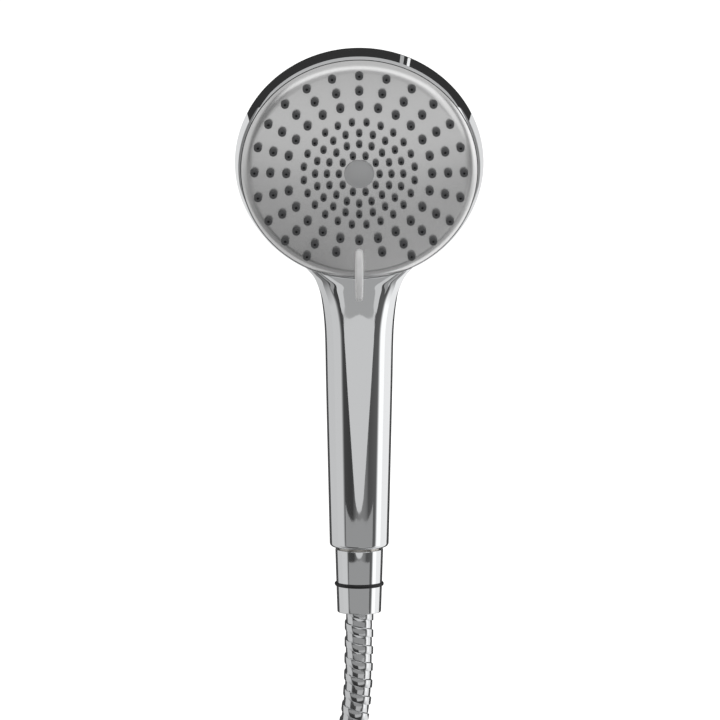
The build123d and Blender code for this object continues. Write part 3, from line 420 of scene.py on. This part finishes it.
def make_lever():
    xs, ys = [p[0] for p in LEVER_TOP], [p[1] for p in LEVER_TOP]
    ms = slopes(xs, ys)
    ms[0], ms[-1] = LEVER_END_SLOPES
    start, end = xs[0], xs[-1]
    steps, around = 64, 28
    verts = []
    for i in range(steps + 1):
        t = 0.5 - 0.5 * math.cos(math.pi * i / steps)
        s = start + (end - start) * t
        top = cubic(xs, ys, ms, s)
        # it lies on the face, then clears the rim
        under = -crown_depth(min(s, FACE_RADIUS))
        if s > FACE_RADIUS:
            rise = FACE_EDGE_DEPTH - LEVER_UNDERCUT - LEVER_END_DEPTH
            under = under + LEVER_UNDERCUT + rise * smooth((s - FACE_RADIUS) / 10.0)
        half = LEVER_HALF + LEVER_BELLY * math.sin(math.pi * t)
        # both ends are rounded in plan
        half *= math.sqrt(max(1 - max(0.0, 1 - (s - start) / 1.6) ** 2, 0.02))
        half *= math.sqrt(max(1 - max(0.0, 1 - (end - s) / 0.9) ** 2, 0.04))
        top = max(top, under + 0.05)
        for j in range(around):
            a = math.pi * j / (around - 1)
            side = math.copysign(abs(math.cos(a)) ** 0.55, math.cos(a))
            crown = math.sin(a) ** 0.8
            edge = min(1.3, top - under)
            verts.append(on_head(half * side, -s, -(top - edge + edge * crown)))
        verts.append(on_head(-half, -s, -under))
        verts.append(on_head(half, -s, -under))
    n = around + 2
    faces = grid_faces(steps + 1, n)
    faces.append(tuple(range(n)))
    faces.append(tuple(steps * n + j for j in reversed(range(n))))
    lever = piece("lever", verts, faces, "chrome_trim", "selector", ["selector_lever"], 50.0)
    lever.data.materials[0] = LEVER_FINISH


# ---- conical nut and the ring in its groove ----
NUT_LENGTH = 31.0
NUT_WIDE, NUT_NARROWER = 11.65, 1.05
THREAD_BORE, THREAD_DEPTH, SLEEVE_BORE = 10.5, 14.0, 7.9
GROOVE, GROOVE_ROUND, GROOVE_EDGE, RING_ROUND = 17.2, 0.95, 1.2, 0.93


def nut_radius(down):
    return NUT_WIDE - NUT_NARROWER * down / NUT_LENGTH


RING_RADIUS = nut_radius(GROOVE) - 0.05


def make_nut():
    top, end = NUT_TOP, NUT_TOP - NUT_LENGTH
    lip = GROOVE_EDGE - 0.23
    out = [(THREAD_BORE, top - THREAD_DEPTH), (THREAD_BORE, top)]
    out += rounded([(10.6, top), (11.6, top), (nut_radius(2), top - 2)], 0.5, 5)[1:-1]
    for down in (GROOVE - GROOVE_EDGE, GROOVE - lip):
        out.append((nut_radius(down), top - down))
    for i in range(1, 12):
        a = math.pi * i / 12
        out.append((RING_RADIUS - GROOVE_ROUND * math.sin(a),
                    top - GROOVE + GROOVE_ROUND * math.cos(a)))
    for down in (GROOVE + lip, GROOVE + GROOVE_EDGE):
        out.append((nut_radius(down), top - down))
    out += rounded([(nut_radius(29), top - 29), (10.6, end), (9.4, end)], 0.5, 5)[1:-1]
    out += [(SLEEVE_BORE, end), (SLEEVE_BORE, top - THREAD_DEPTH)]
    out.append((THREAD_BORE, top - THREAD_DEPTH))
    verts, faces = lathe(out, on_handle, 160)
    piece("nut", verts, faces, "chrome_trim", "handset", ["cone_nut"])


def make_grip_ring():
    out = []
    for i in range(21):
        a = 2 * math.pi * i / 20
        out.append((RING_RADIUS + RING_ROUND * math.cos(a),
                    NUT_TOP - GROOVE + RING_ROUND * math.sin(a)))
    verts, faces = lathe(out, on_handle, 160)
    piece("ring", verts, faces, "seal_rubber", "handset", ["grip_ring"])


# ---- hose: straight out of the nut, down to the floor, then the put-away coil ----
HOSE_R = 7.0
ROUTE = [(0.0, -16.0, 14.3), (0.0, -47.0, 14.3), (-0.8, -80.0, 9.9)]
COIL = Vector((33.65, -210.0, 0.0))
TURN_1, TURN_2, TURN_3 = 80.0, 65.5, 72.75
LAST_TURN = 60.0
# where the turns begin, where the last bend leaves them and where it ends, in degrees
ENTRY, LEAVE, COIL_END = 155.0, 956.0, 1080.0
STEP = 15.0
# where the turns change radius or height, and over how many degrees
INWARD, OUTWARD = (402, 113), (760, 90)
CLIMB, SETTLE, CLIMB_AGAIN = (695, 105), (860, 60), (910, 110)
CLIMB_BY, SETTLE_BY, CLIMB_AGAIN_BY = 14.4, 1.9, 6.9
LEAD_IN, APPROACH = 52.0, 22.0
TAIL, TAIL_Z = 24.0, 26.4


def eased(a, span):
    return smooth((a - span[0]) / span[1])


def coil_radius(a):
    """The wide turn on the floor, the one inside it, and the one on top of both."""
    r = TURN_1 + (TURN_2 - TURN_1) * eased(a, INWARD)
    return r + (TURN_3 - TURN_2) * eased(a, OUTWARD)


def coil_height(a):
    """Two turns on the floor, then up onto them, and up once more to the wall end."""
    z = HOSE_R + CLIMB_BY * eased(a, CLIMB) - SETTLE_BY * eased(a, SETTLE)
    return z + CLIMB_AGAIN_BY * eased(a, CLIMB_AGAIN)


def ring_points(centre, radius_at, start, end):
    """Control points of an arc for a quadratic spline, and one on each straight run."""
    count = round((end - start) / STEP)
    step = math.radians(end - start) / count
    first_angle = math.radians(start)
    places = [(start, first_angle, radius_at(start), -math.tan(step / 2))]
    for i in range(count):
        at = math.degrees(first_angle + (i + 0.5) * step)
        places.append((at, math.radians(at), radius_at(at) / math.cos(step / 2), 0.0))
    places.append((end, math.radians(end), radius_at(end), math.tan(step / 2)))
    points = []
    for at, a, r, leg in places:
        x = r * (math.cos(a) - leg * math.sin(a))
        y = r * (math.sin(a) + leg * math.cos(a))
        points.append(centre + Vector((x, y, coil_height(at))))
    return points


def route_points():
    angle = math.radians(ENTRY)
    away = Vector((math.cos(angle), math.sin(angle), 0.0))
    way = Vector((-math.sin(angle), math.cos(angle), 0.0))
    touch = COIL + away * TURN_1 + Vector((0, 0, HOSE_R))
    end = touch - way * LEAD_IN
    last_centre = COIL + Vector((TURN_3 - LAST_TURN, -TAIL, 0.0))
    points = [Vector(p) for p in ROUTE] + [end - way * APPROACH, end]
    points += ring_points(COIL, coil_radius, ENTRY, LEAVE)
    points += ring_points(last_centre, lambda a: LAST_TURN, LEAVE, COIL_END)
    points.append(COIL + Vector((TURN_3, 0.0, TAIL_Z)))
    return points


def sampled_route():
    """Close points on the route's spline, from the nut on."""
    data = bpy.data.curves.new("hose_line", "CURVE")
    data.dimensions = "3D"
    data.resolution_u = 24
    spline = data.splines.new("NURBS")
    points = route_points()
    spline.points.add(len(points) - 1)
    for at, p in zip(spline.points, points):
        at.co = (*local(p), 1.0)
    spline.order_u = 3
    spline.use_endpoint_u = True
    obj = bpy.data.objects.new("hose_line", data)
    scene.collection.objects.link(obj)
    bpy.context.view_layer.update()
    graph = bpy.context.evaluated_depsgraph_get()
    line = bpy.data.meshes.new_from_object(obj.evaluated_get(graph))
    out = [v.co.copy() for v in line.vertices]
    bpy.data.objects.remove(obj)
    start = local(ROUTE[0])
    if (out[0] - start).length > (out[-1] - start).length:
        out.reverse()
    kept = [out[0]]
    for p in out[1:]:
        if (p - kept[-1]).length > 1e-5:
            kept.append(p)
    return kept


def framed(points):
    """Length so far, place, and two directions across, carried along without twist."""
    out = []
    side = Vector((1.0, 0.0, 0.0))
    run = 0.0
    for i, p in enumerate(points):
        after, before = points[min(i + 1, len(points) - 1)], points[max(i - 1, 0)]
        tangent = (after - before).normalized()
        side = (side - tangent * side.dot(tangent)).normalized()
        if i:
            run += (p - points[i - 1]).length
        out.append((run, p, side.copy(), tangent.cross(side)))
    return out


# the wound strip: how far it moves on in a turn, and its outline as (share of that, radius)
HOSE_LEAD = 8.3
BAND = [(0.0, 6.62), (0.02, 6.9), (0.06, 7.0), (0.25, 7.0), (0.44, 7.0), (0.48, 6.9),
        (0.5, 6.2), (0.53, 6.32), (0.75, 6.36), (0.97, 6.32)]


def wound_rows(frames, around):
    """A row for each outline point and turn, which goes once round the hose and one lead on."""
    total, lead = frames[-1][0], HOSE_LEAD * MM
    turns = int(total / lead) + 2
    verts = []
    seek = 0
    for row in range(-len(BAND), turns * len(BAND)):
        turn, band = divmod(row, len(BAND))
        share, radius = BAND[band]
        for j in range(around):
            run = (turn + share + j / around) * lead
            run = min(max(run, 0.0), total)
            k = seek
            while k < len(frames) - 2 and frames[k + 1][0] < run:
                k += 1
            while k > 0 and frames[k][0] > run:
                k -= 1
            if j == 0:
                seek = k
            a, b = frames[k], frames[k + 1]
            t = (run - a[0]) / (b[0] - a[0])
            u, v = a[2].lerp(b[2], t), a[3].lerp(b[3], t)
            angle = -2 * math.pi * j / around
            out = u * math.cos(angle) + v * math.sin(angle)
            verts.append(a[1].lerp(b[1], t) + out * radius * MM)
    return verts


def make_hose():
    line = sampled_route()
    frames = framed(line)
    around = 40
    verts = wound_rows(frames, around)
    count = len(verts) // around
    faces = []
    for row in range(count - 1):
        for j in range(around - 1):
            a = row * around + j
            faces.append((a, a + 1, a + around + 1, a + around))
        # a row ends where the same row of the next turn begins
        other = row + len(BAND)
        if other + 1 < count:
            a = row * around + around - 1
            faces.append((a, other * around, (other + 1) * around, a + around))
    hose = piece("hose_tube", verts, faces, "hose_metal", "handset",
                 ["hose", "hose_coil"], 25.0)


# ---- union nut at the wall end ----
UNION_START, UNION_END = 14.5, 36.0
UNION_RADIUS, UNION_THREAD, UNION_NECK = 11.6, 9.32, 6.6
RIBS, RIB_HEIGHT = 36, 0.32


def make_union_nut():
    start, end = COIL.y + UNION_START, COIL.y + UNION_END
    around = RIBS * 6
    corners = [(8.7, start), (UNION_RADIUS, start), (UNION_RADIUS, end), (9.5, end)]
    rows = rounded(corners, 0.8, 5)[1:-1]
    # (radius, y, whether the row is ribbed)
    outline = [(UNION_NECK, start + 3.0, False), (UNION_NECK, start, False)]
    outline += [(8.7, start, False)]
    outline += [(r, y, start + 2.4 < y < end - 2.4) for r, y in rows]
    ribbed = [(UNION_RADIUS, start + 2.3, False)]
    for i in range(9):
        ribbed.append((UNION_RADIUS, start + 2.6 + (end - start - 5.2) * i / 8, True))
    ribbed.append((UNION_RADIUS, end - 2.3, False))
    split = next(i for i, o in enumerate(outline) if o[1] > (start + end) / 2)
    outline[split:split] = ribbed
    outline += [(UNION_THREAD, y, False) for y in (end - 0.6, start + 9.0, start + 3.0)]
    outline += [(UNION_NECK, start + 3.0, False)]
    x = COIL.x + TURN_3
    verts = []
    for radius, y, is_ribbed in outline:
        for a in angles(around):
            r = radius + (RIB_HEIGHT * math.cos(RIBS * a) if is_ribbed else 0.0)
            verts.append(local((x + r * math.cos(a), y, TAIL_Z + r * math.sin(a))))
    faces = grid_faces(len(outline), around)
    piece("union_nut", verts, faces, "chrome_trim", "wall_union", ["wall_nut"])


# ---- surroundings: a gradient all round, a pale floor, and cards that the chrome reflects ----

def card(name, corners, strength):
    """A flat glowing card that only reflections and the light see."""
    mesh = bpy.data.meshes.new(name)
    mesh.from_pydata([tuple(local(c)) for c in corners], [], [tuple(range(len(corners)))])
    m = bpy.data.materials.new(name)
    m.use_nodes = True
    tree = m.node_tree
    tree.nodes.clear()
    glow = tree.nodes.new("ShaderNodeEmission")
    glow.inputs["Color"].default_value = (1.0, 1.0, 1.0, 1.0)
    glow.inputs["Strength"].default_value = strength
    out = tree.nodes.new("ShaderNodeOutputMaterial")
    tree.links.new(glow.outputs["Emission"], out.inputs["Surface"])
    mesh.materials.append(m)
    obj = bpy.data.objects.new(name, mesh)
    scene.collection.objects.link(obj)
    obj.visible_camera = False
    obj.visible_shadow = False
    return obj


def level_card(name, z, outline, strength):
    return card(name, [(x, y, z) for x, y in outline], strength)


def upright_card(name, y, half, low, high, strength):
    corners = [(-half, y, low), (half, y, low), (half, y, high), (-half, y, high)]
    return card(name, corners, strength)


def box_outline(x0, x1, y0, y1):
    return [(x0, y0), (x1, y0), (x1, y1), (x0, y1)]


# brightness by height, from straight below to straight above
SKY = [(0.0, 0.10), (0.22, 0.14), (0.34, 0.7), (0.42, 1.0), (0.69, 1.0),
       (0.735, 0.30), (0.76, 0.10), (0.93, 0.07), (0.96, 0.16), (1.0, 0.25)]
SKY_LEAN = 0.087


def make_world():
    world = bpy.data.worlds.new("surround")
    scene.world = world
    world.use_nodes = True
    tree = world.node_tree
    tree.nodes.clear()
    where = tree.nodes.new("ShaderNodeTexCoord")
    split = tree.nodes.new("ShaderNodeSeparateXYZ")
    tree.links.new(where.outputs["Generated"], split.inputs["Vector"])
    lean = tree.nodes.new("ShaderNodeMath")
    lean.operation = "MULTIPLY_ADD"
    lean.inputs[1].default_value = SKY_LEAN
    tree.links.new(split.outputs["X"], lean.inputs[0])
    tree.links.new(split.outputs["Z"], lean.inputs[2])
    height = ranged(tree, lean.outputs["Value"], (-1.0, 1.0), (0.0, 1.0))
    ramp = tree.nodes.new("ShaderNodeValToRGB")
    tree.links.new(height, ramp.inputs["Fac"])
    while len(ramp.color_ramp.elements) < len(SKY):
        ramp.color_ramp.elements.new(0.5)
    for element, (at, value) in zip(ramp.color_ramp.elements, SKY):
        element.position = at
        element.color = (value, value, value, 1.0)
    glow = tree.nodes.new("ShaderNodeBackground")
    tree.links.new(ramp.outputs["Color"], glow.inputs["Color"])
    # brighter to the right, and dimmer below the handle's end
    side = ranged(tree, split.outputs["X"], (-0.6, 0.6), (0.62, 1.15))
    front = ranged(tree, split.outputs["Y"], (-0.75, -0.3), (0.3, 1.0))
    both = tree.nodes.new("ShaderNodeMath")
    both.operation = "MULTIPLY"
    tree.links.new(side, both.inputs[0])
    tree.links.new(front, both.inputs[1])
    tree.links.new(both.outputs["Value"], glow.inputs["Strength"])
    # the background itself is seen as plain white
    plain = tree.nodes.new("ShaderNodeBackground")
    plain.inputs["Color"].default_value = (1.0, 1.0, 1.0, 1.0)
    seen = tree.nodes.new("ShaderNodeLightPath")
    mix = tree.nodes.new("ShaderNodeMixShader")
    out = tree.nodes.new("ShaderNodeOutputWorld")
    tree.links.new(seen.outputs["Is Camera Ray"], mix.inputs["Fac"])
    tree.links.new(glow.outputs["Background"], mix.inputs[1])
    tree.links.new(plain.outputs["Background"], mix.inputs[2])
    tree.links.new(mix.outputs["Shader"], out.inputs["Surface"])


FLOOR_HALF, FLOOR_Z, FLOOR_GREY = 3000, -0.2, 0.25


def make_floor():
    """A glowing floor that also takes the object's shadow."""
    outline = box_outline(-FLOOR_HALF, FLOOR_HALF, -FLOOR_HALF, FLOOR_HALF)
    floor = level_card("floor", FLOOR_Z, outline, 1.0)
    floor.visible_camera = True
    floor.visible_shadow = True
    floor.visible_glossy = False
    tree = floor.data.materials[0].node_tree
    matte = tree.nodes.new("ShaderNodeBsdfDiffuse")
    matte.inputs["Color"].default_value = (FLOOR_GREY, FLOOR_GREY, FLOOR_GREY, 1.0)
    add = tree.nodes.new("ShaderNodeAddShader")
    glow = next(n for n in tree.nodes if n.type == "EMISSION")
    out = next(n for n in tree.nodes if n.type == "OUTPUT_MATERIAL")
    tree.links.new(glow.outputs["Emission"], add.inputs[0])
    tree.links.new(matte.outputs["BSDF"], add.inputs[1])
    tree.links.new(add.outputs["Shader"], out.inputs["Surface"])


def make_cards():
    # overhead: a drop shape over the handle, then the neck, the top, the face and the nut,
    # at heights that keep them out of each other's planes
    right = [(0, -39), (45, -38), (85, -34), (118, -24), (190, -4), (253, 14), (320, 30),
             (320, 40), (270, 54), (190, 68), (110, 80), (50, 88), (0, 91)]
    drop = right + [(-x, y) for x, y in reversed(right[1:-1])]
    level_card("overhead", 330, drop, 0.62)
    neck = [(-250, 56), (250, 56), (170, 110), (170, 240), (-170, 240), (-170, 110)]
    level_card("over_neck", 332.5, neck, 0.38)
    beside_right = [(250, 56), (420, 56), (420, 240), (170, 240), (170, 110)]
    level_card("over_neck_right", 332, beside_right, 0.85)
    beside_left = [(-420, 56), (-250, 56), (-170, 110), (-170, 240), (-420, 240)]
    level_card("over_neck_left", 332, beside_left, 0.12)
    level_card("over_top", 334, box_outline(-300, 380, 240, 420), 1.0)
    level_card("over_face", 336, box_outline(-20, 420, -300, -190), 0.5)
    nut = [(-60, -44), (60, -44), (240, -58), (420, -75),
           (420, -190), (-420, -190), (-420, -75), (-240, -58)]
    level_card("over_nut", 338, nut, 0.32)

    # beyond the head: what the drum's side reflects, with two bright stripes
    upright_card("beyond", 300, 330, 0, 48, 0.035)
    upright_card("beyond_high", 300, 330, 48, 200, 0.5)
    far_floor = [(-200, 222), (200, 222), (330, 300), (-330, 300)]
    level_card("beyond_floor", 0.1, far_floor, 0.035)
    for near, far, strength in ((43, 48, 0.45), (53, 57, 1.0)):
        stripe = [(near, 299, 0), (far, 299, 0), (far + 4, 299, 48), (near + 4, 299, 48)]
        card("stripe", stripe, strength)

    # on the floor, where the chrome reflects it: a dark strip along each side of the handle,
    # painted shade for the floor lying in the handle's shade, and paler fields round it,
    # painted light that is brighter on the right than on the left
    for side, low, wide in ((-1, 0.60, 0.22), (1, 0.92, 0.26)):
        # the strip beside the handle is painted shade; the field strengths are painted light
        fields = (("beside", 0.1, box_outline(10, 33, -90, 118), 0.07),
                  ("floor_low", 0.05, box_outline(0, 900, -500, 122), low),
                  ("floor_head", 0.05, box_outline(0, 112, 122, 400), 0.78),
                  ("floor_wide", 0.05, box_outline(112, 900, 122, 400), wide))
        for name, z, outline, strength in fields:
            level_card(name, z, [(side * x, y) for x, y in outline], strength)


make_camera()
make_union_nut()
make_hose()
make_shell()
make_face()
make_nozzles("outer_nozzles", OUTER_RINGS, 2.05, "outer_nozzle_mat")
make_nozzles("inner_nozzles", INNER_RINGS, 1.6, "inner_nozzle_mat")
make_cap()
make_lever()
make_nut()
make_grip_ring()
make_world()
make_floor()
make_cards()
